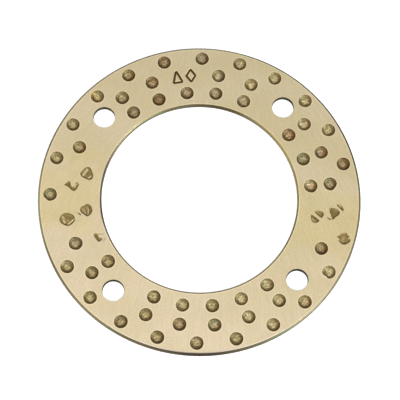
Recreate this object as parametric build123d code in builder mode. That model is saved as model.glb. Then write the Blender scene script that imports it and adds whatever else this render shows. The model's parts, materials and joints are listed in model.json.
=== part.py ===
from build123d import *
import math
import os

# A flat bronze thrust washer: a ring with four fixing holes and, in its running face, three
# staggered rings of round lubricant pockets, some of them worn. All lengths are in millimetres.
# The origin lies on the axis of the bore, on the plain back face, and +Z points out of the
# running face.

# The ring
bore_diameter = 60.6
face_width = 19.7
thickness = 2.0
outer_edge_chamfer = 0.6
bore_edge_chamfer = 0.5

# The fixing holes, a little inward from the middle of the face
hole_count = 4
hole_diameter = 6.8
hole_inward = 0.4
hole_start_angle = 45.0

# The lubricant pockets: round, with a sloping wall and a flat floor
pocket_diameter = 4.2
pocket_wall_width = 0.7
pocket_depth = 0.6
cutter_overrun = 0.5

# The three rings of pockets, all with the same number of steps
pockets_per_ring = 24
outer_ring_to_edge = 3.8
inner_ring_to_bore = 4.45
middle_ring_outward = 0.35
pattern_start_angle = 2.8
hole_to_pocket_metal = 1.0

# What is left of the worn pockets
worn_depth = 0.3

bore_radius = bore_diameter / 2
outer_radius = bore_radius + face_width
hole_circle_radius = bore_radius + face_width / 2 - hole_inward
pocket_radius = pocket_diameter / 2
pitch_angle = 360 / pockets_per_ring
ring_radius = {
    "outer": outer_radius - outer_ring_to_edge,
    "inner": bore_radius + inner_ring_to_bore,
}
ring_radius["middle"] = (ring_radius["outer"] + ring_radius["inner"]) / 2 + middle_ring_outward
ring_start_angle = {
    "outer": pattern_start_angle - pitch_angle / 2,
    "middle": pattern_start_angle,
    "inner": pattern_start_angle,
}

# Steps of each ring, counter-clockwise from its start, that have no whole pocket: the worn
# ones, and one in the middle ring where the plate stays plain for a stamped mark
no_whole_pocket = {
    "outer": {0, 13, 23},
    "middle": {6, 11, 12, 23},
    "inner": {10, 11, 12, 13, 22, 23},
}


def pocket_plane(ring, step):
    """The running face at one pocket's centre, with x pointing away from the bore."""
    outward = Vector(1, 0, 0).rotate(Axis.Z, ring_start_angle[ring] + step * pitch_angle)
    centre = outward * ring_radius[ring] + Vector(0, 0, thickness)
    return Plane(origin=centre, x_dir=outward, z_dir=(0, 0, 1))


def clears_holes(plane):
    """True where a whole pocket leaves enough metal to every fixing hole."""
    least = hole_diameter / 2 + pocket_radius + hole_to_pocket_metal
    for index in range(hole_count):
        hole = Vector(hole_circle_radius, 0, thickness)
        hole = hole.rotate(Axis.Z, hole_start_angle + index * 360 / hole_count)
        if (plane.origin - hole).length < least:
            return False
    return True


def whole_pockets():
    """The places of the pockets that are whole."""
    places = []
    for ring in ring_radius:
        for step in range(pockets_per_ring):
            plane = pocket_plane(ring, step)
            if step not in no_whole_pocket[ring] and clears_holes(plane):
                places.append(plane)
    return places


def patch(*corners):
    """One recessed patch of a worn pocket, from its corners in pocket radii."""
    Polygon(*[(x * pocket_radius, y * pocket_radius) for x, y in corners], align=None)


def rounded_triangle():
    patch((0.4, -2.2), (-0.5, -0.8), (-0.25, -0.35), (0.35, -0.3), (1.45, -0.85), (1.15, -1.5))


def hook():
    patch((0.55, 1.1), (-0.05, 0.4), (-0.6, 1.15), (-1.6, 0.5), (-1.25, 1.55), (-0.75, 1.8), (0.05, 1.25))


def ribbed_disc():
    patch((0.15, -0.65), (-0.2, -0.65), (-0.65, 0.2), (-0.45, 0.8), (-0.2, 1.0), (-0.15, 0.05))
    patch((0.4, -0.45), (0.1, -0.15), (-0.05, 0.4), (-0.05, 1.05), (0.25, 1.05), (0.25, 0.5))
    patch((0.6, -0.5), (1.05, -0.2), (1.1, 0.2), (0.85, 0.75), (0.45, 1.0), (0.45, 0.4))


def clipped_disc():
    patch(
        (1.3, 1.05),
        (1.05, 0.6),
        (0.65, 0.35),
        (0.1, 0.35),
        (-0.85, 0.85),
        (-0.75, 1.2),
        (0.05, 1.65),
        (0.15, 2.1),
        (0.65, 2.05),
        (1.1, 1.65),
    )
    patch((-0.05, 2.2), (-0.8, 1.55), (-0.6, 1.5), (0.0, 1.95))


def corner():
    patch((-0.2, -0.45), (-0.45, -0.25), (-0.55, 0.45), (-0.95, 0.7), (-0.35, 1.05), (-0.1, 0.0))


def split_disc():
    patch((0.55, 0.45), (0.9, 0.6), (1.55, 0.5), (1.85, 0.2), (1.7, -0.3), (1.15, -0.05))
    patch((0.15, -0.1), (1.0, -0.55), (1.35, -0.85), (1.15, -1.15), (0.65, -1.2))


def arrowhead():
    patch((-0.2, 1.3), (0.85, 1.3), (1.25, 0.8), (0.6, -0.2), (0.35, -0.3))
    patch((0.8, 2.0), (1.25, 1.9), (1.8, 1.3), (1.55, 1.15), (1.2, 1.6))


def ragged_disc():
    patch(
        (-0.4, 0.25),
        (-0.95, -0.15),
        (-0.4, -0.1),
        (-0.65, -0.65),
        (-0.2, -0.9),
        (0.25, -1.0),
        (0.7, -0.85),
        (1.0, -0.4),
        (0.8, 0.35),
        (0.05, 0.75),
    )


worn_pockets = [
    ("inner", 11, rounded_triangle),
    ("middle", 11, hook),
    ("inner", 12, ribbed_disc),
    ("middle", 12, clipped_disc),
    ("inner", 13, corner),
    ("inner", 23, split_disc),
    ("middle", 23, arrowhead),
    ("outer", 23, ragged_disc),
]

# One whole pocket, with its rim at z = 0
with BuildPart() as pocket:
    with BuildSketch(Plane.XZ):
        with BuildLine():
            Polyline(
                (0, -pocket_depth),
                (pocket_radius - pocket_wall_width, -pocket_depth),
                (pocket_radius, 0),
                (pocket_radius, cutter_overrun),
                (0, cutter_overrun),
                close=True,
            )
        make_face()
    revolve(axis=Axis.Z)

with BuildPart() as thrust_washer:
    with BuildSketch():
        Circle(outer_radius)
        Circle(bore_radius, mode=Mode.SUBTRACT)
    extrude(amount=thickness)
    circles = thrust_washer.edges().filter_by(GeomType.CIRCLE).group_by(SortBy.RADIUS)
    chamfer(circles[-1], outer_edge_chamfer)
    circles = thrust_washer.edges().filter_by(GeomType.CIRCLE).group_by(SortBy.RADIUS)
    chamfer(circles[0], bore_edge_chamfer)

    with PolarLocations(hole_circle_radius, hole_count, start_angle=hole_start_angle):
        Hole(hole_diameter / 2)

    with Locations(*whole_pockets()):
        add(pocket.part, mode=Mode.SUBTRACT)

    for ring, step, draw in worn_pockets:
        with BuildSketch(pocket_plane(ring, step)):
            draw()
        extrude(amount=-worn_depth, mode=Mode.SUBTRACT)

thrust_washer.part.label = "thrust_washer"
os.makedirs("parts", exist_ok=True)
export_step(thrust_washer.part, "parts/thrust_washer.step")
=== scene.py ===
import json
import math

import bpy
import numpy as np
from mathutils import Matrix, Vector
from mathutils.geometry import convex_hull_2d, delaunay_2d_cdt


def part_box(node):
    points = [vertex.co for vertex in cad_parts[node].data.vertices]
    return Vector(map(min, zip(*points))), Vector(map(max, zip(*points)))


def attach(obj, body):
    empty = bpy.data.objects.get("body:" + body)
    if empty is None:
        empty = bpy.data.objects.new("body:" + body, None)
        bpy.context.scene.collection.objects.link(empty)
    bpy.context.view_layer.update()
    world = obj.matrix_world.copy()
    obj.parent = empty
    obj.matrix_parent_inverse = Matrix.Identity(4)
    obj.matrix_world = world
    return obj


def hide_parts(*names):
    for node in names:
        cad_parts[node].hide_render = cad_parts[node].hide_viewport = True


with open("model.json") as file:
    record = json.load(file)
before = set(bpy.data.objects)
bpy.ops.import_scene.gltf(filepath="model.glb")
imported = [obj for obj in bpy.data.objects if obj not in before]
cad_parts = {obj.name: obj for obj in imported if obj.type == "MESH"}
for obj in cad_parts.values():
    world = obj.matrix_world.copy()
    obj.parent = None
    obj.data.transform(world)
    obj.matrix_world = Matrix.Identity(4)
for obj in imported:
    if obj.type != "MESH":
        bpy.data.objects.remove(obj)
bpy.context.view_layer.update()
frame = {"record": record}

# A bronze thrust washer, lying with its running face up. Lengths are in millimetres and angles
# in degrees until a piece is finished; angles run counter-clockwise from the x axis.

# Sizes that the frame gives
METRE = 1000.0
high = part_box("thrust_washer")[1]
mounts = {mount["name"]: mount["dims"] for mount in frame["record"]["mounts"]}
outer_radius = high.x * METRE
thickness = high.z * METRE
bore_radius = mounts["bore"]["r_mm"]
hole_radius = mounts["fixing_holes"]["hole_r_mm"]
hole_circle_radius = mounts["fixing_holes"]["pcd_mm"] / 2
hole_count = mounts["fixing_holes"]["count"]
hole_angle = 45.0

# Edges of the ring, the holes and the pockets
outer_chamfer = 0.6
bore_chamfer = 0.5
edge_rounding = 0.08
edge_margin = 0.05
hole_lip = 0.04
hole_margin = 0.08
# How far each fixing hole's wall leans in towards the back face
hole_leans = (0.0, 0.0, 0.08, 0.1)
# Steps round each edge in the mesh
outer_segments = 360
bore_segments = 288
hole_segments = 72
pocket_segments = 48

# The pockets: a bowl-shaped wall down to a floor that is nearly flat
pocket_radius = 2.1
pocket_floor_radius = 0.95
pocket_depth = 0.6
pocket_lip = 0.06
pocket_guard = 1.25  # how far a pocket's mesh reaches, in pocket radii
pockets_per_ring = 24
pattern_start_angle = 2.8
pitch_angle = 360 / pockets_per_ring
outer_ring = outer_radius - 3.8
inner_ring = bore_radius + 4.45
middle_ring = (outer_ring + inner_ring) / 2 + 0.35
rings = {
    "outer": (outer_ring, pattern_start_angle - pitch_angle / 2),
    "middle": (middle_ring, pattern_start_angle),
    "inner": (inner_ring, pattern_start_angle),
}
hole_to_pocket_metal = 1.0
no_whole_pocket = {
    "outer": {0, 13, 23},
    "middle": {6, 11, 12, 23},
    "inner": {10, 11, 12, 13, 22, 23},
}

# How much whole pockets differ: size, depth, slope of the floor, and waves in rim and wall
size_spread = 0.008
depth_spread = 0.06
steepest_floor = 0.05
rim_wave = 0.006
wall_wave = 0.042
floor_grain = 0.01

# The worn pockets, and the two stamped figures
worn_depth = 0.24
worn_wall = 0.5
stamp_depth = 0.16
stamp_half_width = 0.44

# The flat map that textures are baked to: the back face lies inside the bore there
map_margin = 3.0
back_on_map = 0.54

# Where the camera stands: seen from above, the picture's upright lies this far from the y axis
picture_turn = -6.14
picture_size = 400
# Distance from the axis to where the grinding lines of the face would meet
lines_meet = 95.0

# Finishes, in the order of the mesh's material slots
FACE, POCKET, CHAMFER, WALL, HOLE, BACK = range(6)
# The reach of a point that is in no pocket
FAR = 2.0
# Where a painted highlight brightens the face beside an edge: the distance from it and the reach
# there
beside_edge = ((0.38, FAR), (0.32, 1.14))


def polar(radius, angle):
    """Points at this radius and angle; either may be a list."""
    turn = np.radians(angle)
    return np.stack(np.broadcast_arrays(radius * np.cos(turn), radius * np.sin(turn)), axis=-1)


def smooth(low, high, value):
    """0 below low and 1 above high, with a soft change between them."""
    part = np.clip((np.asarray(value) - low) / (high - low), 0, 1)
    return part * part * (3 - 2 * part)


def soften(outline, times=2, cut=0.22):
    """A closed outline with its corners cut off, which rounds them."""
    loop = np.array(outline, float)
    for _ in range(times):
        ahead = np.roll(loop, -1, axis=0)
        loop = np.stack((loop + cut * (ahead - loop), ahead - cut * (ahead - loop)), axis=1)
        loop = loop.reshape(-1, 2)
    return loop


def evenly(loop, spacing):
    """The same closed loop with its points a given distance apart."""
    closed = np.vstack((loop, loop[:1]))
    steps = np.linalg.norm(np.diff(closed, axis=0), axis=1)
    along = np.concatenate(([0], np.cumsum(steps)))
    count = max(3, round(along[-1] / spacing))
    at = np.linspace(0, along[-1], count, endpoint=False)
    return np.stack([np.interp(at, along, closed[:, axis]) for axis in (0, 1)], axis=1)


def loop_round(points, margin):
    """A convex loop that stays this far outside the points, with none of its own in line."""
    spread = (points[:, None] + polar(margin, np.arange(0, 360, 15))).reshape(-1, 2)
    hull = spread[convex_hull_2d([tuple(point) for point in spread])]
    before = hull - np.roll(hull, 1, axis=0)
    after = np.roll(before, -1, axis=0)
    bend = before[:, 0] * after[:, 1] - before[:, 1] * after[:, 0]
    length = np.linalg.norm(before, axis=1) * np.linalg.norm(after, axis=1)
    return hull[np.abs(bend) > 0.01 * length]


def distance_to(points, start, end):
    """Distance of each point to the nearest of the straight lines from start to end."""
    run = end - start
    part = ((points[:, None] - start) * run).sum(axis=2) / (run**2).sum(axis=1)
    near = start + np.clip(part, 0, 1)[..., None] * run
    return np.linalg.norm(points[:, None] - near, axis=2).min(axis=1)


def depth_inside(points, loop):
    """Distance of each point to a closed loop, counted positive inside it."""
    ahead = np.roll(loop, -1, axis=0)
    x, y = points[:, :1], points[:, 1:]
    passes = (loop[:, 1] > y) != (ahead[:, 1] > y)
    rise = ahead[:, 1] - loop[:, 1]
    rise = np.where(rise == 0, 1e-9, rise)
    crossing = loop[:, 0] + (y - loop[:, 1]) * (ahead[:, 0] - loop[:, 0]) / rise
    within = (passes & (x < crossing)).sum(axis=1) % 2 == 1
    return np.where(within, 1, -1) * distance_to(points, loop, ahead)


class Shell:
    """A closed mesh in the making.

    Each point also has its place on the flat map that textures are baked to, its reach, which
    is its distance from a pocket's centre in pocket radii, and its tone, which is the colour of
    the tarnish there, with painted highlights and glints in it, and how much of it there is.
    """

    def __init__(self):
        self.count = 0
        self.points = []
        self.flat = []
        self.reach = []
        self.tone = []
        self.faces = []
        self.finish = []

    def add(self, flat, z, reach=FAR, tone=(0, 0, 0, 0), place=None):
        """Adds points and returns their numbers. place is given where the map differs."""
        place = flat if place is None else place
        size = len(place)
        level = np.broadcast_to(z, (size,))[:, None]
        self.points.append(np.hstack((place, level)))
        self.flat.append(np.asarray(flat, float))
        self.reach.append(np.broadcast_to(reach, (size,)))
        self.tone.append(np.broadcast_to(tone, (size, 4)))
        self.count += size
        return np.arange(self.count - size, self.count)

    def band(self, inside, outside, finish):
        """Quads between two loops, facing up where the second lies outside the first."""
        corners = (inside, outside, np.roll(outside, -1), np.roll(inside, -1))
        self.faces += np.stack(corners, axis=1).tolist()
        self.finish += [finish] * len(inside)

    def cap(self, loop, centre, finish):
        """Triangles from a loop to one point."""
        ahead = np.roll(loop, -1)
        self.faces += [[a, b, centre] for a, b in zip(loop.tolist(), ahead.tolist())]
        self.finish += [finish] * len(loop)

    def fill(self, loops, finish, loose=(), up=True):
        """Triangles between an outer loop, which comes first, and the convex loops in it."""
        numbers = np.concatenate([*loops, np.array(loose, int)])
        places = np.concatenate(self.points)[numbers, :2]
        owner = np.full(len(numbers), -1)
        edges = []
        start = 0
        for index, loop in enumerate(loops):
            own = np.arange(start, start + len(loop))
            owner[own] = index
            edges += np.stack((own, np.roll(own, -1)), axis=1).tolist()
            start += len(loop)
        found = delaunay_2d_cdt([Vector(place) for place in places], edges, [], 0, 1e-7)
        for corners in found[2]:
            a, b, c = (found[3][corner][0] for corner in corners)
            if owner[a] == owner[b] == owner[c] and owner[a] > 0:
                continue
            (ax, ay), (bx, by), (cx, cy) = places[[a, b, c]]
            if ((bx - ax) * (cy - ay) - (cx - ax) * (by - ay) > 0) != up:
                b, c = c, b
            self.faces.append([int(numbers[a]), int(numbers[b]), int(numbers[c])])
            self.finish.append(finish)


def revolve(shell, profile, finishes, segments, centre=(0, 0), patches=(), wall_top=0.0):
    """Turns a profile of (radius, z, radius on the map) into bands, and returns its loops.

    Each patch is (direction, width in degrees, how it multiplies the colour, how it multiplies
    it again below wall_top, how much it covers the face where that meets the edge). A profile
    point may have a fourth number, its reach, which is 1 on the edge.
    """
    angles = np.arange(segments) * 360 / segments
    colour = np.ones((segments, 3))
    on_wall = np.ones((segments, 3))
    amount = np.zeros((segments, 1))
    # Each patch makes a stretch of the edge darker with tarnish, or paler with a painted glint
    for direction, width, factor, wall_factor, cover in patches:
        off = (angles - direction - picture_turn + 180) % 360 - 180
        near = np.exp(-((off / width) ** 2))[:, None]
        colour *= 1 + near * (np.array(factor) - 1)
        on_wall *= 1 + near * (wall_factor - 1)
        amount += near * cover
    loops = []
    for radius, z, flat_radius, *reach in profile:
        flat = centre + polar(flat_radius, angles)
        place = centre + polar(radius, angles)
        shade = colour * on_wall if z < wall_top else colour
        tone = np.hstack((shade, amount * (reach == [1.0])))
        loops.append(shell.add(flat, z, *reach, tone=tone, place=place))
    for first, second, finish in zip(loops, loops[1:], finishes):
        shell.band(first, second, finish)
    return loops


def edge_profile(radius, sign, chamfer):
    """Half of a chamfered edge, from the flat face to the middle of the wall.

    sign is 1 where the metal lies inside the radius and -1 where it lies outside.
    """
    corners = [(radius - sign * chamfer, 0), (radius, -chamfer)]
    tangent = edge_rounding * math.tan(math.radians(22.5))
    profile = [(corners[0][0] - sign * (tangent + edge_margin), 0)]
    for index, (at, z) in enumerate(corners):
        for part in (0, 1 / 3, 2 / 3, 1):
            lean = math.radians(45 * (part + index))
            if index == 0:
                r = at - sign * (tangent - edge_rounding * math.sin(lean))
                down = edge_rounding * (1 - math.cos(lean))
            else:
                r = at - sign * edge_rounding * (1 - math.sin(lean))
                down = -z + tangent - edge_rounding * math.cos(lean)
            profile.append((r, -down))
    return profile


def ring_edge(shell, radius, sign, chamfer, segments, patches):
    """The outer edge or the bore's edge. Returns the loops where it meets the two faces."""
    half = edge_profile(radius, sign, chamfer)
    whole = [(r, thickness + z) for r, z in half] + [(r, -z) for r, z in reversed(half)]
    start = whole[0][0]
    run = 0
    profile = []
    for back, reach in beside_edge:
        place = start - sign * back
        profile.append((place, thickness, place, reach))
    profile.append((*whole[0], start, 1.0))
    for before, after in zip(whole, whole[1:]):
        run += math.dist(before, after)
        profile.append((*after, start + sign * run, 1.0))
    corners = (len(half) - 5) * [CHAMFER]
    finishes = [FACE] * (1 + len(beside_edge)) + [CHAMFER] * 2 + corners + [WALL] * 3
    finishes += [WALL] * (len(profile) - 1 - len(finishes) - len(corners)) + corners
    if sign < 0:
        profile.reverse()
        finishes.reverse()
    wall_top = thickness - 0.9 * chamfer
    loops = revolve(shell, profile, finishes, segments, patches=patches, wall_top=wall_top)
    return (loops[0], loops[-1]) if sign > 0 else (loops[-1], loops[0])


def screw_hole(shell, centre, lean):
    """A plain hole through the plate. Returns the loops where it meets the two faces."""
    half = [(hole_radius + hole_lip + hole_margin, 0)]
    for degrees in (0, 30, 60, 90):
        turn = math.radians(degrees)
        r = hole_radius + hole_lip * (1 - math.sin(turn))
        half.append((r, -hole_lip * (1 - math.cos(turn))))
    whole = [(r, thickness + z) for r, z in half] + [(r - lean, -z) for r, z in reversed(half)]
    run = 0
    profile = [(*whole[0], whole[0][0])]
    for before, after in zip(whole, whole[1:]):
        run += math.dist(before, after)
        profile.append((*after, whole[0][0] - run))
    profile.reverse()
    finishes = [HOLE] * (len(profile) - 2) + [FACE]
    loops = revolve(shell, profile, finishes, hole_segments, centre)
    return loops[-1], loops[0]


def pocket_place(ring, step):
    """A pocket's centre and the direction that points away from the bore."""
    radius, start = rings[ring]
    angle = start + step * pitch_angle
    return polar(radius, angle), angle


def clears_holes(centre):
    """True where a whole pocket leaves enough metal to every fixing hole."""
    angles = hole_angle + np.arange(hole_count) * 360 / hole_count
    least = hole_radius + pocket_radius + hole_to_pocket_metal
    return np.linalg.norm(polar(hole_circle_radius, angles) - centre, axis=1).min() >= least


def pocket_profile():
    """Reach and depth of a pocket from its guard to its middle, in pocket radii and mm."""
    wide = pocket_radius - pocket_lip - pocket_floor_radius
    curve = (wide**2 + pocket_depth**2) / (2 * pocket_depth)
    steep = math.asin(wide / curve)
    guard = pocket_guard * pocket_radius
    profile = [(guard, 0), (guard - 0.06, 0), (pocket_radius + 0.05, 0)]
    for part in (0, 0.33, 0.67, 1):
        lean = steep * part
        r = pocket_radius - pocket_lip * math.sin(lean)
        profile.append((r, -pocket_lip * (1 - math.cos(lean))))
    for part in (0.88, 0.78, 0.67, 0.55, 0.4, 0.2, 0):
        lean = steep * part
        r = pocket_floor_radius + curve * math.sin(lean)
        profile.append((r, -pocket_depth + curve * (1 - math.cos(lean))))
    for r, rise in ((0.9, -0.012), (0.65, -0.004), (0.4, 0.008), (0.2, 0.0)):
        profile.append((r, -pocket_depth + rise))
    return [(r / pocket_radius, z) for r, z in profile]


def pocket(shell, centre, tints, seed, dents=()):
    """One whole pocket, a little different from its neighbours. Returns its guard loop.

    tints are the tarnish on one side, that on the other and the direction of the other. Each
    dent is (direction, how far it pushes the rim out in pocket radii, width in degrees).
    """
    chance = np.random.default_rng(seed)
    angles = np.arange(pocket_segments) * 360 / pocket_segments
    grow = 1 + chance.normal(0, size_spread)
    deep = 1 + chance.normal(0, depth_spread)
    tilt = polar(chance.uniform(0, steepest_floor), chance.uniform(0, 360))
    waves = chance.normal(0, rim_wave, 3)
    phases = chance.uniform(0, 360, 3)
    swirl = chance.uniform(0, 6, 3)
    rim = np.zeros(len(angles))
    for number, (wave, phase) in enumerate(zip(waves, phases), 2):
        rim += wave * np.cos(np.radians(number * angles + phase))
    for direction, push, width in dents:
        off = (angles - direction + 180) % 360 - 180
        rim += push * np.exp(-((off / width) ** 2))
    loops = []
    for reach, z in pocket_profile():
        share = smooth(pocket_guard, 1.08, reach) * smooth(0, 1, reach)
        scale = 1 + (grow - 1) * share + rim * share
        place = centre + polar(reach * pocket_radius * scale, angles)
        level = np.full(len(angles), z * deep)
        below = smooth(0, pocket_depth, -z)
        level += below * ((place - centre) @ tilt)
        away = (place - centre) @ (polar(1, 60 * swirl[0]), polar(1, 60 * swirl[0] + 90))
        rough = np.sin(away @ (3.9, 1.3) + swirl[0]) * np.sin(away @ (-1.7, 4.3) + swirl[1])
        rough += 0.6 * np.sin(away @ (5.6, 3.4) + swirl[2])
        level += wall_wave * below * rough
        level += below * chance.normal(0, floor_grain, len(angles)) * (reach < 0.5)
        seen = reach if loops else FAR
        side = smooth(-0.7, 0.7, (place - centre) @ polar(1, tints[2]) / pocket_radius)[:, None]
        tone = (1 - side) * (*tints[0], 0.0) + side * (*tints[1], 0.0)
        # Painted highlight: the tarnish turns paler and greyer on each pocket's upper-left wall as
        # the camera sees it, the wall that faces the lamp
        painted_lit_side = (place - centre) @ polar(1, 135 + picture_turn) / pocket_radius
        tone = tone * (1 + np.maximum(painted_lit_side, -0.3)[:, None] * (0.02, 0.24, 0.38, 0.0))
        loops.append(shell.add(place, thickness + level, reach=seen, tone=tone))
    tone = (np.array(tints[0]) + tints[1]) / 2
    middle = shell.add([centre], thickness - pocket_depth * deep - 0.03, 0.0, (*tone, 0.0))
    for number, (outside, inside) in enumerate(zip(loops, loops[1:])):
        shell.band(inside, outside, FACE if number < 3 else POCKET)
    shell.cap(loops[-1], int(middle[0]), POCKET)
    return loops[0]


def relief(shell, loop, spacing, height, tone):
    """A patch of the running face with a height of its own. Returns the loop round it."""
    guard = shell.add(loop, thickness)
    low = loop.min(axis=0)
    high = loop.max(axis=0)
    rows = np.arange(low[1], high[1], spacing * math.sqrt(0.75))
    spots = []
    for number, y in enumerate(rows):
        xs = np.arange(low[0] + spacing / 2 * (number % 2), high[0], spacing)
        spots.append(np.stack((xs, np.full(len(xs), y)), axis=1))
    spots = np.concatenate(spots)
    spots = spots[depth_inside(spots, loop) > 0.7 * spacing]
    inner = shell.add(spots, thickness + height(spots), tone=tone(spots))
    shell.fill([guard], FACE, loose=inner)
    return guard


def worn_pocket(shell, ring, step, outlines, shades, strokes, spacing=0.12):
    """What is left of a worn pocket: shallow patches with soft walls. Returns its guard loop.

    Outlines and strokes are in pocket radii, x away from the bore. shades are the shares of the
    tarnish colour at the outline and inside it. Each stroke is (start, end, half its width in
    mm, how much paler it is, or darker where that is less than 0).
    """
    centre, angle = pocket_place(ring, step)
    turn = np.array((polar(1, angle), polar(1, angle + 90))) * pocket_radius
    loops = [centre + soften(outline, cut=0.18) @ turn for outline in outlines]
    lines = [(centre + np.array([a, b]) @ turn, wide, pale) for a, b, wide, pale in strokes]
    swirl = np.random.default_rng(1000 + step).uniform(0, 6, 3)

    def sunk(spots):
        return 0.05 + np.max([depth_inside(spots, loop) for loop in loops], axis=0)

    def paleness(spots):
        pale = np.zeros(len(spots))
        for (start, end), wide, change in lines:
            away = distance_to(spots, start[None], end[None])
            pale += change * (1 - smooth(0.4 * wide, 1.4 * wide, away))
        return pale

    def height(spots):
        rough = np.sin(spots[:, 0] * 7.1 + swirl[0]) * np.sin(spots[:, 1] * 6.3 + swirl[1])
        rough += np.sin(spots @ (4.7, 5.9) + swirl[2])
        wall = smooth(0, worn_wall, sunk(spots))
        level = wall * (-worn_depth + 0.02 * rough + 0.08 * paleness(spots))
        return np.minimum(level, 0)

    def tone(spots):
        deep = sunk(spots)
        pale = paleness(spots)
        amount = smooth(-0.08, 0.12, deep) * (1 - np.clip(pale, 0, 1))
        shade = shades[0] + (shades[1] - shades[0]) * smooth(0.2, 0.55, deep)
        shade *= 1 + np.clip(pale, -1, 0)
        return np.hstack((shade[:, None] * WORN, amount[:, None]))

    loop = loop_round(np.concatenate(loops), 0.12 + 2 * spacing)
    return relief(shell, loop, spacing, height, tone)


def stamped_mark(shell, corners, radius, angle, tint, spacing=0.09):
    """A small closed figure stamped in the face, upright along the radius."""
    turn = np.array((polar(1, angle - 90), polar(1, angle)))
    loop = polar(radius, angle) + evenly(soften(corners, 3, 0.08), 0.1) @ turn

    def stroke(spots):
        away = distance_to(spots, loop, np.roll(loop, -1, axis=0))
        return 1 - smooth(0.2, stamp_half_width, away)

    def tone(spots):
        return np.hstack((np.broadcast_to(tint, (len(spots), 3)), stroke(spots)[:, None]))

    guard = loop_round(loop, stamp_half_width + 2 * spacing)
    return relief(shell, guard, spacing, lambda spots: -stamp_depth * stroke(spots), tone)


def linear(red, green, blue):
    """A colour given as 0 to 255, as shaders want it."""
    shares = np.array((red, green, blue)) / 255
    return tuple(np.where(shares <= 0.04045, shares / 12.92, ((shares + 0.055) / 1.055) ** 2.4))


# Tarnish of the pockets, of the worn pockets and of the stamped figures
OLIVE = linear(182, 164, 118)
BROWN = linear(162, 140, 104)
RUST = linear(176, 146, 106)
GREEN = linear(164, 155, 116)
GREY = linear(168, 151, 120)
DULL = linear(172, 154, 110)
PALE = linear(196, 180, 136)
UMBER = linear(146, 118, 80)
GOLD = linear(198, 172, 112)
WORN = linear(178, 154, 100)
STAMP = linear(84, 60, 30)
# The other finishes, each with its two colours
FACE_WARM = linear(214, 198, 160)
FACE_PALE = linear(219, 202, 169)
FLOOR_PALE = linear(188, 170, 124)
CHAMFER_BROWN = linear(108, 98, 76)
CHAMFER_GREEN = linear(104, 104, 82)
WALL_BROWN = linear(84, 70, 46)
WALL_GREEN = linear(80, 76, 54)
# The hole walls' colours: tarnish, darkened with painted shade
HOLE_BROWN = linear(46, 40, 20)
HOLE_GREEN = linear(34, 34, 20)
BACK_PALE = linear(206, 188, 146)
BACK_DULL = linear(184, 162, 118)
WHITE = (1.0, 1.0, 1.0)

# Darker and paler stretches of the two edges, in the form that revolve takes: tarnish, with
# painted glints in the paler ones. Their directions are those of the picture.
outer_tarnish_and_glints = [
    (31, 19, (0.14, 0.2, 0.04), 1.0, 0.0),
    (66, 13, (0.32, 0.4, 0.3), 1.0, 0.0),
    (105, 14, (0.5, 0.58, 0.5), 1.0, 0.0),
    (186, 17, (2.1, 2.0, 1.95), 1.05, 0.0),
    (228, 12, (2.4, 2.25, 2.05), 0.55, 0.0),
    (272, 20, (0.34, 0.29, 0.29), 1.65, 1.2),
    (311, 14, (1.6, 1.85, 2.05), 0.9, 0.0),
    (348, 20, (1.15, 1.05, 1.1), 1.1, 0.0),
]
bore_tarnish_and_glints = [
    (20, 34, (2.5, 2.25, 1.65), 0.95, 0.0),
    (47, 15, (1.9, 1.8, 1.5), 0.5, 0.0),
    (80, 14, (0.52, 0.44, 0.32), 1.0, 0.1),
    (112, 12, (1.2, 1.2, 1.1), 0.9, 0.0),
    (136, 15, (1.8, 1.85, 1.65), 0.45, 0.0),
    (166, 12, (0.5, 0.48, 0.45), 2.1, 0.7),
    (192, 11, (0.42, 0.35, 0.3), 1.3, 0.9),
    (235, 34, (1.3, 1.27, 1.2), 1.0, 0.0),
    (316, 16, (1.25, 1.2, 1.15), 1.0, 0.0),
    (345, 13, (0.5, 0.47, 0.43), 1.9, 0.6),
]

# Pockets whose tarnish differs: one side, the other and the direction of the other
pocket_tints = {
    ("outer", 1): (BROWN, UMBER, 25),
    ("outer", 2): (PALE, OLIVE, 0),
    ("outer", 3): (PALE, PALE, 0),
    ("outer", 4): (PALE, OLIVE, 0),
    ("outer", 5): (BROWN, PALE, 0),
    ("outer", 6): (GREY, BROWN, 300),
    ("outer", 7): (UMBER, BROWN, 0),
    ("outer", 8): (OLIVE, UMBER, 300),
    ("outer", 9): (GOLD, PALE, 0),
    ("outer", 11): (PALE, OLIVE, 270),
    ("outer", 12): (GREEN, OLIVE, 300),
    ("outer", 14): (PALE, OLIVE, 300),
    ("outer", 16): (DULL, BROWN, 90),
    ("outer", 17): (BROWN, DULL, 180),
    ("outer", 18): (DULL, BROWN, 30),
    ("outer", 19): (DULL, DULL, 0),
    ("outer", 20): (PALE, OLIVE, 0),
    ("outer", 22): (PALE, PALE, 0),
    ("middle", 0): (GREEN, BROWN, 0),
    ("middle", 1): (GREY, RUST, 10),
    ("middle", 2): (PALE, OLIVE, 0),
    ("middle", 4): (PALE, PALE, 0),
    ("middle", 5): (PALE, GREY, 0),
    ("middle", 7): (BROWN, RUST, 60),
    ("middle", 8): (OLIVE, BROWN, 300),
    ("middle", 10): (OLIVE, RUST, 300),
    ("middle", 13): (OLIVE, GREY, 90),
    ("middle", 14): (DULL, BROWN, 0),
    ("middle", 17): (BROWN, BROWN, 0),
    ("middle", 18): (GREEN, DULL, 270),
    ("middle", 19): (PALE, OLIVE, 330),
    ("middle", 20): (PALE, OLIVE, 0),
    ("middle", 22): (BROWN, UMBER, 330),
    ("inner", 0): (PALE, RUST, 330),
    ("inner", 1): (GREEN, GREEN, 0),
    ("inner", 2): (RUST, RUST, 0),
    ("inner", 4): (GREY, OLIVE, 0),
    ("inner", 5): (GREY, BROWN, 0),
    ("inner", 6): (GREY, BROWN, 0),
    ("inner", 7): (UMBER, UMBER, 0),
    ("inner", 8): (UMBER, GREY, 0),
    ("inner", 17): (PALE, OLIVE, 0),
    ("inner", 19): (PALE, PALE, 0),
    ("inner", 20): (PALE, OLIVE, 330),
}
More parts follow.
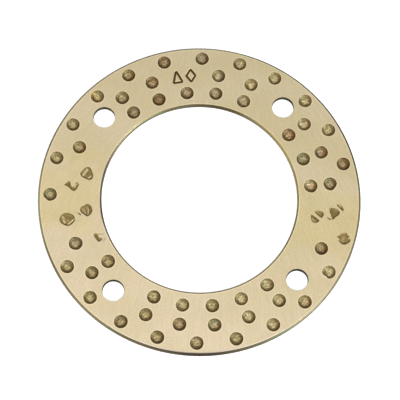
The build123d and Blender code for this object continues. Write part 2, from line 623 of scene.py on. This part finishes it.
# Pockets with a rim that isn't quite round
pocket_dents = {
    ("outer", 22): [(228, -0.2, 26), (262, 0.05, 16)],
    ("outer", 12): [(224, -0.09, 22), (258, 0.05, 20)],
    ("outer", 11): [(275, 0.04, 18)],
    ("middle", 0): [(320, -0.07, 24), (280, 0.04, 16)],
    ("inner", 0): [(288, 0.07, 18)],
}

# Worn pockets: ring, step, outlines, shades and strokes
worn_pockets = [
    (
        "inner",
        11,
        [
            [
                (1.46, -0.92), (1.27, -1.42), (0.88, -1.98), (0.52, -2.22), (0.03, -2.04),
                (-0.28, -1.47), (-0.54, -0.98), (-0.48, -0.46), (-0.06, -0.18), (0.45, -0.3),
                (1.04, -0.52),
            ],
        ],
        (0.42, 0.72),
        [
            ((1.0, -0.86), (0.5, -1.82), 0.34, 0.85),
            ((0.2, -0.48), (-0.2, -0.86), 0.22, 0.8),
            ((0.5, -0.95), (0.2, -1.5), 0.26, -0.12),
        ],
    ),
    (
        "middle",
        11,
        [
            [
                (0.62, 1.12), (0.34, 0.78), (-0.01, 0.4), (-0.27, 0.6), (-0.38, 1.0), (-0.62, 1.3),
                (-0.8, 1.24), (-0.86, 0.9), (-1.1, 0.55), (-1.29, 0.36), (-1.6, 0.66),
                (-1.46, 1.1), (-1.33, 1.54), (-1.02, 1.85), (-0.64, 1.74), (-0.25, 1.44),
                (0.13, 1.2),
            ],
        ],
        (0.56, 0.6),
        [
            ((-1.5, 0.5), (-1.25, 0.85), 0.26, 0.45),
            ((-0.98, 0.86), (-1.08, 1.2), 0.2, 0.7),
            ((0.4, 1.0), (0.0, 0.65), 0.3, -0.15),
            ((-0.7, 1.55), (-1.0, 1.65), 0.22, -0.1),
        ],
    ),
    (
        "inner",
        12,
        [
            [
                (1.12, -0.13), (0.86, -0.5), (0.43, -0.58), (0.14, -0.78), (-0.22, -0.75),
                (-0.58, -0.4), (-0.62, 0.02), (-0.72, 0.2), (-0.5, 0.7), (-0.18, 0.96),
                (0.18, 1.14), (0.45, 0.9), (0.9, 0.5), (1.08, 0.16),
            ],
            [
                (1.98, 0.12), (1.55, 0.34), (1.27, 0.45), (1.03, 0.74), (1.09, 0.86), (1.32, 0.66),
                (1.58, 0.45),
            ],
        ],
        (0.42, 0.8),
        [
            ((0.47, -0.2), (0.42, 0.6), 0.2, 0.45),
            ((0.0, -0.42), (-0.12, 0.07), 0.16, 0.55),
            ((-0.12, 0.07), (0.03, 0.8), 0.18, 0.55),
            ((0.8, -0.1), (0.7, 0.25), 0.2, 0.3),
            ((0.58, -0.4), (0.22, 0.1), 0.13, -0.45),
            ((0.22, 0.1), (0.21, 0.78), 0.13, -0.45),
            ((0.15, -0.62), (-0.28, -0.19), 0.14, -0.45),
            ((-0.28, -0.19), (-0.34, 0.56), 0.16, -0.45),
            ((2.0, 0.1), (1.5, 0.42), 0.3, 0.6),
        ],
    ),
    (
        "middle",
        12,
        [
            [
                (1.36, 1.05), (1.12, 0.6), (0.66, 0.26), (0.16, 0.24), (-0.26, 0.4), (-0.66, 0.63),
                (-0.88, 0.98), (-0.86, 1.26), (-0.9, 1.54), (-0.52, 1.93), (-0.1, 2.24),
                (0.36, 2.24), (0.82, 2.02), (1.28, 1.6),
            ],
        ],
        (0.44, 0.74),
        [
            ((0.8, 0.82), (0.66, 1.62), 0.36, 0.7),
            ((0.12, 1.93), (-0.72, 1.3), 0.17, 1.3),
            ((0.1, 0.9), (-0.4, 1.1), 0.4, -0.18),
            ((0.22, 1.35), (0.1, 1.6), 0.3, 0.25),
        ],
    ),
    (
        "inner",
        13,
        [
            [
                (-0.16, -0.46), (-0.5, -0.3), (-0.56, 0.04), (-0.58, 0.42), (-1.02, 0.62),
                (-0.92, 0.86), (-0.64, 0.98), (-0.3, 1.02), (-0.16, 0.64), (-0.04, 0.2),
                (0.0, -0.17),
            ],
            [
                (-0.5, -0.1), (-0.98, 0.06), (-1.36, 0.1), (-1.42, -0.05), (-1.02, -0.13),
                (-0.6, -0.26),
            ],
            [
                (-0.89, 1.0), (-1.15, 1.06), (-1.38, 0.97), (-1.43, 0.7), (-1.34, 0.66),
                (-1.28, 0.84), (-1.1, 0.9), (-0.92, 0.86),
            ],
        ],
        (0.66, 0.72),
        [
            ((-0.8, -0.06), (-1.4, 0.0), 0.6, 0.55),
            ((-1.05, 0.95), (-1.4, 0.8), 0.5, 0.6),
            ((-0.3, -0.2), (-0.4, 0.8), 0.24, -0.2),
        ],
    ),
    (
        "inner",
        23,
        [
            [
                (0.5, 0.42), (0.8, 0.6), (1.21, 0.65), (1.6, 0.62), (1.88, 0.34), (1.92, 0.14),
                (1.76, -0.28), (1.67, -0.4), (1.34, -0.26), (0.92, 0.03), (0.64, 0.24),
            ],
            [
                (0.06, -0.08), (0.29, -0.16), (0.78, -0.44), (1.25, -0.7), (1.42, -0.9),
                (1.1, -1.2), (0.77, -1.31), (0.36, -1.2), (0.18, -0.84), (0.04, -0.43),
            ],
        ],
        (0.56, 0.66),
        [
            ((0.9, 0.35), (1.3, 0.3), 0.26, 0.2),
            ((1.72, -0.28), (1.86, 0.12), 0.24, -0.3),
            ((0.15, -0.2), (0.75, -0.52), 0.2, -0.35),
            ((0.75, -0.52), (1.25, -0.85), 0.26, -0.35),
            ((0.36, -0.75), (0.8, -1.15), 0.3, 0.45),
        ],
    ),
    (
        "middle",
        23,
        [
            [
                (-0.26, 1.25), (-0.11, 1.4), (0.13, 1.36), (0.48, 1.38), (0.92, 1.28), (1.25, 1.0),
                (1.33, 0.74), (1.14, 0.38), (0.82, 0.08), (0.57, -0.25), (0.36, -0.46),
                (0.25, -0.13), (0.08, 0.26), (-0.18, 0.71),
            ],
            [
                (-0.52, -0.1), (-0.3, -0.16), (-0.06, -0.24), (0.14, -0.3), (0.13, -0.46),
                (-0.12, -0.49), (-0.34, -0.36),
            ],
            [
                (0.64, 2.02), (1.12, 2.04), (1.44, 1.95), (1.82, 1.42), (1.8, 1.08), (1.45, 1.3),
                (1.13, 1.56), (0.8, 1.86),
            ],
        ],
        (0.48, 0.52),
        [
            ((1.14, 1.92), (1.34, 1.72), 0.28, 0.4),
            ((-0.5, -0.16), (-0.25, -0.3), 0.2, 0.35),
            ((0.95, 1.1), (0.6, 1.15), 0.3, 0.18),
        ],
    ),
    (
        "outer",
        23,
        [
            [
                (-1.05, -0.22), (-0.75, 0.14), (-0.45, 0.54), (-0.1, 0.7), (0.13, 0.86),
                (0.38, 0.55), (0.8, 0.32), (0.62, 0.14), (0.6, 0.03), (0.88, 0.03), (1.08, -0.14),
                (0.98, -0.45), (0.76, -0.73), (0.48, -0.98), (0.17, -1.08), (-0.2, -1.0),
                (-0.38, -0.83), (-0.72, -0.72), (-0.5, -0.52), (-0.58, -0.37), (-0.7, -0.26),
            ],
        ],
        (0.56, 0.72),
        [
            ((-0.19, 0.05), (-0.05, -0.5), 0.22, 0.35),
            ((0.06, 0.13), (0.06, -0.3), 0.18, 0.25),
            ((-0.14, -0.84), (0.33, -0.8), 0.3, -0.25),
            ((0.33, -0.8), (0.85, -0.3), 0.32, -0.25),
            ((-0.85, -0.12), (-0.33, 0.45), 0.22, -0.25),
            ((0.72, 0.1), (0.45, 0.04), 0.18, 0.4),
        ],
    ),
]

# Two plain figures where the real washer is stamped: corners, radius and angle
stamped_marks = [
    ([(-1.45, -1.9), (1.45, -1.9), (0.0, 2.05)], 40.65, 96.36),
    ([(-1.45, 0.0), (0.0, -2.1), (1.45, 0.0), (0.0, 2.1)], 40.65, 90.2),
]


def washer_mesh():
    """The whole washer as one closed mesh."""
    shell = Shell()
    edges = (
        (outer_radius, 1, outer_chamfer, outer_segments, outer_tarnish_and_glints),
        (bore_radius, -1, bore_chamfer, bore_segments, bore_tarnish_and_glints),
    )
    top = []
    back = []
    for edge in edges:
        above, below = ring_edge(shell, *edge)
        top.append(above)
        back.append(below)
    for index in range(hole_count):
        centre = polar(hole_circle_radius, hole_angle + index * 360 / hole_count)
        above, below = screw_hole(shell, centre, hole_leans[index])
        top.append(above)
        back.append(below)
    for number, ring in enumerate(rings):
        for step in range(pockets_per_ring):
            centre, _ = pocket_place(ring, step)
            if step in no_whole_pocket[ring] or not clears_holes(centre):
                continue
            key = (ring, step)
            tints = pocket_tints.get(key, (OLIVE, DULL, 30 * step))
            dents = pocket_dents.get(key, ())
            top.append(pocket(shell, centre, tints, 100 * number + step, dents))
    for patch in worn_pockets:
        top.append(worn_pocket(shell, *patch))
    for corners, radius, angle in stamped_marks:
        top.append(stamped_mark(shell, corners, radius, angle, STAMP))
    shell.fill(top, FACE)
    shell.fill(back, BACK, up=False)
    return shell


def piece_from(shell, name, materials):
    """Makes the object of a shell, in metres, with what its materials and its bake read."""
    mesh = bpy.data.meshes.new(name)
    points = np.concatenate(shell.points)
    mesh.from_pydata((points / METRE).tolist(), [], shell.faces)
    for material in materials:
        mesh.materials.append(material)
    mesh.polygons.foreach_set("material_index", np.array(shell.finish, np.int32))
    mesh.polygons.foreach_set("use_smooth", np.ones(len(shell.faces), bool))
    reach = mesh.attributes.new("reach", "FLOAT", "POINT")
    reach.data.foreach_set("value", np.concatenate(shell.reach).astype(np.float32))
    tone = mesh.attributes.new("tone", "FLOAT_COLOR", "POINT")
    tone.data.foreach_set("color", np.concatenate(shell.tone).astype(np.float32).ravel())
    corner = np.zeros(len(mesh.loops), np.int32)
    mesh.loops.foreach_get("vertex_index", corner)
    flat = np.concatenate(shell.flat)[corner]
    sizes = [len(face) for face in shell.faces]
    on_back = np.repeat(np.array(shell.finish) == BACK, sizes)
    flat[on_back] = points[corner[on_back], :2] * back_on_map
    layer = mesh.uv_layers.new(name="OFBake")
    uv = 0.5 + flat / (2 * (outer_radius + map_margin))
    layer.data.foreach_set("uv", uv.astype(np.float32).ravel())
    mesh.validate()
    mesh.update()
    piece = bpy.data.objects.new(name, mesh)
    bpy.context.scene.collection.objects.link(piece)
    return piece


class Graph:
    """The nodes of one material."""

    def __init__(self, name):
        self.material = bpy.data.materials.new(name)
        self.material.use_nodes = True
        self.tree = self.material.node_tree
        self.shader = self.tree.nodes["Principled BSDF"]

    def set(self, socket, value):
        if isinstance(value, bpy.types.NodeSocket):
            self.tree.links.new(value, socket)
        else:
            socket.default_value = value

    def add(self, kind, output, inputs=(), **settings):
        """Adds a node and returns one of its outputs. inputs are (name or number, value)."""
        node = self.tree.nodes.new(kind)
        for key, value in settings.items():
            setattr(node, key, value)
        for key, value in inputs:
            self.set(node.inputs[key], value)
        return node.outputs[output]

    def math(self, operation, *values):
        return self.add("ShaderNodeMath", 0, list(enumerate(values)), operation=operation)

    def noise(self, turn, across, along, up, detail=2.0, roughness=0.5, offset=0.0):
        """Noise whose marks are so many millimetres wide, long and high."""
        place = self.add("ShaderNodeTexCoord", "Object")
        spun = self.add(
            "ShaderNodeMapping",
            0,
            [("Vector", place), ("Rotation", (0, 0, math.radians(turn)))],
        )
        sized = self.add(
            "ShaderNodeMapping",
            0,
            [
                ("Vector", spun),
                ("Location", (offset, offset, offset)),
                ("Scale", (METRE / across, METRE / along, METRE / up)),
            ],
        )
        inputs = [("Vector", sized), ("Scale", 1.0), ("Detail", detail), ("Roughness", roughness)]
        return self.add("ShaderNodeTexNoise", 0, inputs)

    def fan_noise(self, across, along, detail=2.0, offset=0.0):
        """Noise drawn out along the grinding lines, which run together beyond the far edge."""
        place = self.add("ShaderNodeTexCoord", "Object")
        meeting = direction(90, 0) * (lines_meet / METRE)
        sockets = [(0, place), (1, meeting)]
        apart = self.add("ShaderNodeVectorMath", 0, sockets, operation="SUBTRACT")
        length = self.add("ShaderNodeVectorMath", "Value", [(0, apart)], operation="LENGTH")
        x = self.add("ShaderNodeSeparateXYZ", "X", [(0, apart)])
        y = self.add("ShaderNodeSeparateXYZ", "Y", [(0, apart)])
        turn = self.math("ARCTAN2", x, self.math("MULTIPLY", y, -1.0))
        sockets = [
            ("X", self.math("MULTIPLY", turn, lines_meet / across)),
            ("Y", self.math("MULTIPLY", length, METRE / along)),
            ("Z", offset),
        ]
        drawn = self.add("ShaderNodeCombineXYZ", 0, sockets)
        inputs = [("Vector", drawn), ("Scale", 1.0), ("Detail", detail)]
        return self.add("ShaderNodeTexNoise", 0, inputs)

    def across(self, azimuth):
        """0 at one side of the washer and 1 at the side that lies this way in the picture."""
        place = self.add("ShaderNodeTexCoord", "Object")
        sockets = [(0, place), (1, direction(azimuth, 0) * METRE)]
        far = self.add("ShaderNodeVectorMath", "Value", sockets, operation="DOT_PRODUCT")
        return self.span(far, -outer_radius, outer_radius, 0.0, 1.0)

    def rubbed_side(self):
        """1 in the two yellower areas, where the pockets are worn, and 0 elsewhere."""
        place = self.add("ShaderNodeTexCoord", "Object")
        sockets = [(0, place), (1, direction(85, 0))]
        up = self.add("ShaderNodeVectorMath", "Value", sockets, operation="DOT_PRODUCT")
        ragged = self.noise(0, 12.0, 9.0, 10.0, detail=3.0, offset=23.0)
        up = self.math("MULTIPLY", self.math("ADD", up, 0.003), METRE)
        up = self.math("ADD", up, self.span(ragged, 0.3, 0.7, -5.0, 5.0))
        return self.span(self.math("ABSOLUTE", up), 6.0, 16.0, 1.0, 0.0)

    def span(self, value, from_low, from_high, to_low, to_high):
        inputs = [(0, value), (1, from_low), (2, from_high), (3, to_low), (4, to_high)]
        return self.add("ShaderNodeMapRange", 0, inputs, interpolation_type="SMOOTHSTEP")

    def mix(self, share, first, second, blend="MIX"):
        sockets = [(0, share), (6, self.colour(first)), (7, self.colour(second))]
        return self.add("ShaderNodeMix", 2, sockets, data_type="RGBA", blend_type=blend)

    def colour(self, value):
        return value if isinstance(value, bpy.types.NodeSocket) else (*value, 1.0)

    def scale(self, colour, factor):
        sockets = [(0, colour), ("Scale", factor)]
        return self.add("ShaderNodeVectorMath", 0, sockets, operation="SCALE")

    def bump(self, height, distance):
        sockets = [("Height", height), ("Distance", distance / METRE), ("Strength", 1.0)]
        return self.add("ShaderNodeBump", 0, sockets)

    def finish(self, **inputs):
        for key, value in inputs.items():
            self.set(self.shader.inputs[key.replace("_", " ")], value)
        return self.material


def brushed_bronze():
    """The running face: ground bronze with fine lines, cloudy tones and tarnished dents, painted
    darker towards one side and with painted highlights beside its edges and pocket rims.
    """
    graph = Graph("bronze_running_face")
    fine = graph.fan_noise(0.3, 6.0, detail=3.0)
    broad = graph.fan_noise(1.3, 22.0, detail=2.0, offset=3.0)
    clouds = graph.noise(0, 17.0, 13.0, 15.0, detail=3.0, offset=7.0)
    grain = graph.noise(20, 0.55, 0.55, 0.5, detail=3.0, roughness=0.7, offset=11.0)
    share = graph.span(clouds, 0.35, 0.65, 0.0, 1.0)
    base = graph.mix(share, FACE_WARM, FACE_PALE)
    rubbed = graph.mix(graph.rubbed_side(), WHITE, (0.995, 0.985, 0.87))
    base = graph.mix(1.0, base, rubbed, "MULTIPLY")
    # Painted light and shade: the face is darker towards the upper right and paler towards the
    # lower left
    painted_side_light_and_shade = graph.mix(graph.across(70), (1.025, 1.02, 1.05), (0.955, 0.963, 0.915))
    base = graph.mix(1.0, base, painted_side_light_and_shade, "MULTIPLY")
    light = graph.math("ADD", graph.span(fine, 0.25, 0.75, 0.945, 1.055), -1.0)
    light = graph.math("ADD", light, graph.span(broad, 0.3, 0.7, 0.988, 1.012))
    light = graph.math("MULTIPLY", light, graph.span(grain, 0.25, 0.75, 0.925, 1.075))
    # Painted highlight: the face is brighter in a thin band round each pocket's rim and beside
    # each edge
    reach = graph.add("ShaderNodeAttribute", "Fac", attribute_name="reach")
    near = graph.math("MULTIPLY", graph.span(reach, 1.12, 1.22, 1.0, 0.0), 0.12)
    light = graph.math("ADD", light, near)
    base = graph.scale(base, light)
    tone = graph.add("ShaderNodeAttribute", "Color", attribute_name="tone")
    amount = graph.add("ShaderNodeAttribute", "Alpha", attribute_name="tone")
    grime = graph.scale(tone, graph.span(grain, 0.3, 0.7, 0.85, 1.15))
    colour = graph.mix(amount, base, grime)
    gloss = graph.span(fine, 0.25, 0.75, 0.34, 0.44)
    roughness = graph.math("ADD", gloss, graph.math("MULTIPLY", amount, 0.3))
    height = graph.math("ADD", fine, graph.math("MULTIPLY", grain, 0.3))
    return graph.finish(
        Base_Color=colour,
        Metallic=1.0,
        Roughness=roughness,
        Normal=graph.bump(height, 0.0012),
    )


def tarnished_bronze():
    """The pockets: dark towards the rim, paler on the floor, each with its own tint."""
    graph = Graph("bronze_pocket")
    reach = graph.add("ShaderNodeAttribute", "Fac", attribute_name="reach")
    tone = graph.add("ShaderNodeAttribute", "Color", attribute_name="tone")
    spots = graph.noise(0, 0.42, 0.42, 0.4, detail=4.0, roughness=0.6)
    patches = graph.noise(30, 1.3, 1.1, 1.0, detail=3.0, offset=5.0)
    light = graph.span(spots, 0.32, 0.68, 0.6, 1.4)
    uneven = graph.math("MULTIPLY", graph.math("ADD", patches, -0.5), 0.9)
    reach = graph.math("ADD", reach, uneven)
    tinted = graph.mix(graph.span(patches, 0.35, 0.65, 0.0, 0.3), tone, FLOOR_PALE)
    wall = graph.span(reach, 0.3, 0.66, 0.0, 1.0)
    tinted = graph.mix(wall, tinted, (0.4, 0.355, 0.29), "MULTIPLY")
    return graph.finish(
        Base_Color=graph.scale(tinted, light),
        Metallic=0.85,
        Roughness=graph.span(spots, 0.3, 0.7, 0.5, 0.6),
        Normal=graph.bump(spots, 0.07),
    )


def edge_bronze(name, brown, green):
    """A turned edge or the wall of a hole, dark with tarnish, with painted glints along it."""
    graph = Graph(name)
    lines = graph.noise(0, 9.0, 9.0, 0.12, detail=3.0)
    patches = graph.noise(0, 6.0, 6.0, 3.0, detail=3.0, offset=2.0)
    base = graph.mix(graph.span(patches, 0.35, 0.65, 0.0, 1.0), brown, green)
    # The tone brings in the edge's darker and paler stretches: tarnish, and painted glints
    tone = graph.add("ShaderNodeAttribute", "Color", attribute_name="tone")
    base = graph.mix(1.0, base, tone, "MULTIPLY")
    colour = graph.scale(base, graph.span(lines, 0.3, 0.7, 0.88, 1.12))
    return graph.finish(
        Base_Color=colour,
        Metallic=1.0,
        Roughness=graph.span(lines, 0.3, 0.7, 0.4, 0.52),
        Normal=graph.bump(lines, 0.004),
    )


def hole_shade_and_tarnish():
    """The wall of a fixing hole, nearly black: old tarnish, darkened further with painted shade.
    """
    graph = Graph("bronze_hole_wall")
    streaks = graph.noise(0, 1.2, 1.2, 3.0, detail=3.0)
    base = graph.mix(graph.span(streaks, 0.3, 0.7, 0.0, 1.0), HOLE_BROWN, HOLE_GREEN)
    graph.shader.inputs["Specular IOR Level"].default_value = 0.1
    return graph.finish(
        Base_Color=base,
        Metallic=0.0,
        Roughness=graph.span(streaks, 0.3, 0.7, 0.6, 0.75),
        Normal=graph.bump(streaks, 0.01),
    )


def back_bronze():
    """The back face: plain rolled bronze, a little duller and blotched."""
    graph = Graph("bronze_back_face")
    lines = graph.noise(25, 0.3, 12.0, 5.0, detail=3.0)
    blotches = graph.noise(0, 9.0, 7.0, 8.0, detail=5.0, roughness=0.6)
    base = graph.mix(graph.span(blotches, 0.4, 0.7, 0.0, 1.0), BACK_PALE, BACK_DULL)
    return graph.finish(
        Base_Color=graph.scale(base, graph.span(lines, 0.3, 0.7, 0.96, 1.04)),
        Metallic=1.0,
        Roughness=graph.span(blotches, 0.4, 0.7, 0.42, 0.54),
        Normal=graph.bump(lines, 0.0015),
    )


def white_floor(half_width=1.2, z=-0.00002):
    """A pale floor that reads as white and keeps the washer's soft shadow, sized in metres."""
    mesh = bpy.data.meshes.new("floor")
    signs = ((-1, -1), (1, -1), (1, 1), (-1, 1))
    corners = [(x * half_width, y * half_width, z) for x, y in signs]
    mesh.from_pydata(corners, [], [(0, 1, 2, 3)])
    floor = bpy.data.objects.new("floor", mesh)
    bpy.context.scene.collection.objects.link(floor)
    graph = Graph("floor_white")
    seen = graph.add("ShaderNodeLightPath", "Is Camera Ray")
    for ray in ("Is Glossy Ray", "Is Transmission Ray"):
        seen = graph.math("MAXIMUM", seen, graph.add("ShaderNodeLightPath", ray))
    graph.finish(
        Base_Color=(0.8, 0.8, 0.8, 1.0),
        Roughness=1.0,
        Emission_Color=(*WHITE, 1.0),
        Emission_Strength=graph.math("MULTIPLY", seen, 0.6),
    )
    graph.shader.inputs["Specular IOR Level"].default_value = 0.0
    mesh.materials.append(graph.material)


def direction(azimuth, elevation):
    """A direction in the picture's own axes: azimuth from its right hand, counter-clockwise."""
    turn = math.radians(azimuth + picture_turn)
    rise = math.radians(elevation)
    flat = math.cos(rise)
    return Vector((flat * math.cos(turn), flat * math.sin(turn), math.sin(rise)))


def studio_light():
    """A white room, brightest overhead, and one soft lamp low on the camera's right."""
    world = bpy.data.worlds.new("studio")
    world.use_nodes = True
    bpy.context.scene.world = world
    nodes = world.node_tree.nodes
    links = world.node_tree.links
    place = nodes.new("ShaderNodeTexCoord")
    facing = nodes.new("ShaderNodeVectorMath")
    facing.operation = "DOT_PRODUCT"
    facing.inputs[1].default_value = direction(244, 62)
    level = nodes.new("ShaderNodeMapRange")
    level.interpolation_type = "SMOOTHSTEP"
    level.inputs["From Min"].default_value = 0.3
    level.inputs["From Max"].default_value = 1.0
    level.inputs["To Min"].default_value = 0.36
    level.inputs["To Max"].default_value = 1.46
    links.new(place.outputs["Generated"], facing.inputs[0])
    links.new(facing.outputs["Value"], level.inputs["Value"])
    links.new(level.outputs["Result"], nodes["Background"].inputs["Strength"])
    nodes["Background"].inputs["Color"].default_value = (*WHITE, 1.0)
    lamp = bpy.data.lights.new("soft_lamp", "AREA")
    lamp.shape = "DISK"
    lamp.size = 0.43
    lamp.energy = 12.5
    holder = bpy.data.objects.new("soft_lamp", lamp)
    bpy.context.scene.collection.objects.link(holder)
    towards = direction(-27, 33)
    lamp_distance = 1.2
    holder.location = towards * lamp_distance
    holder.rotation_mode = "QUATERNION"
    holder.rotation_quaternion = towards.to_track_quat("Z", "Y")


def camera():
    """The photograph's view: its tilt, its roll and its distance.

    focal and centre_seen, which is where the face's centre shows, are in the picture's pixels.
    """
    elevation = math.radians(72.17)
    roll = math.radians(-2.58)
    distance = 575.0
    focal = 1858.6
    centre_seen = (199.5, 197.4)
    level = direction(0, 0)
    ahead = direction(90, 0)
    upright = ahead * math.sin(elevation) + Vector((0, 0, math.cos(elevation)))
    back = Vector((0, 0, math.sin(elevation))) - ahead * math.cos(elevation)
    right = level * math.cos(roll) - upright * math.sin(roll)
    above = level * math.sin(roll) + upright * math.cos(roll)
    pixel = distance / focal
    place = Vector((0, 0, thickness)) + back * distance
    place -= right * (centre_seen[0] - picture_size / 2) * pixel
    place -= above * (picture_size / 2 - centre_seen[1]) * pixel
    data = bpy.data.cameras.new("camera")
    data.lens = data.sensor_width * focal / picture_size
    data.clip_start = 0.01
    data.clip_end = 20.0
    holder = bpy.data.objects.new("camera", data)
    bpy.context.scene.collection.objects.link(holder)
    axes = Matrix((right, above, back)).transposed().to_4x4()
    holder.matrix_world = Matrix.Translation(place / METRE) @ axes
    bpy.context.scene.camera = holder


def washer():
    """The bronze washer, which stands for the CAD solid."""
    finishes = [
        brushed_bronze(),
        tarnished_bronze(),
        edge_bronze("bronze_chamfer", CHAMFER_BROWN, CHAMFER_GREEN),
        edge_bronze("bronze_wall", WALL_BROWN, WALL_GREEN),
        hole_shade_and_tarnish(),
        back_bronze(),
    ]
    piece = piece_from(washer_mesh(), "washer_body", finishes)
    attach(piece, "root")
    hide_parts("thrust_washer")


washer()
white_floor()
studio_light()
camera()
bpy.context.scene.view_settings.view_transform = "Standard"
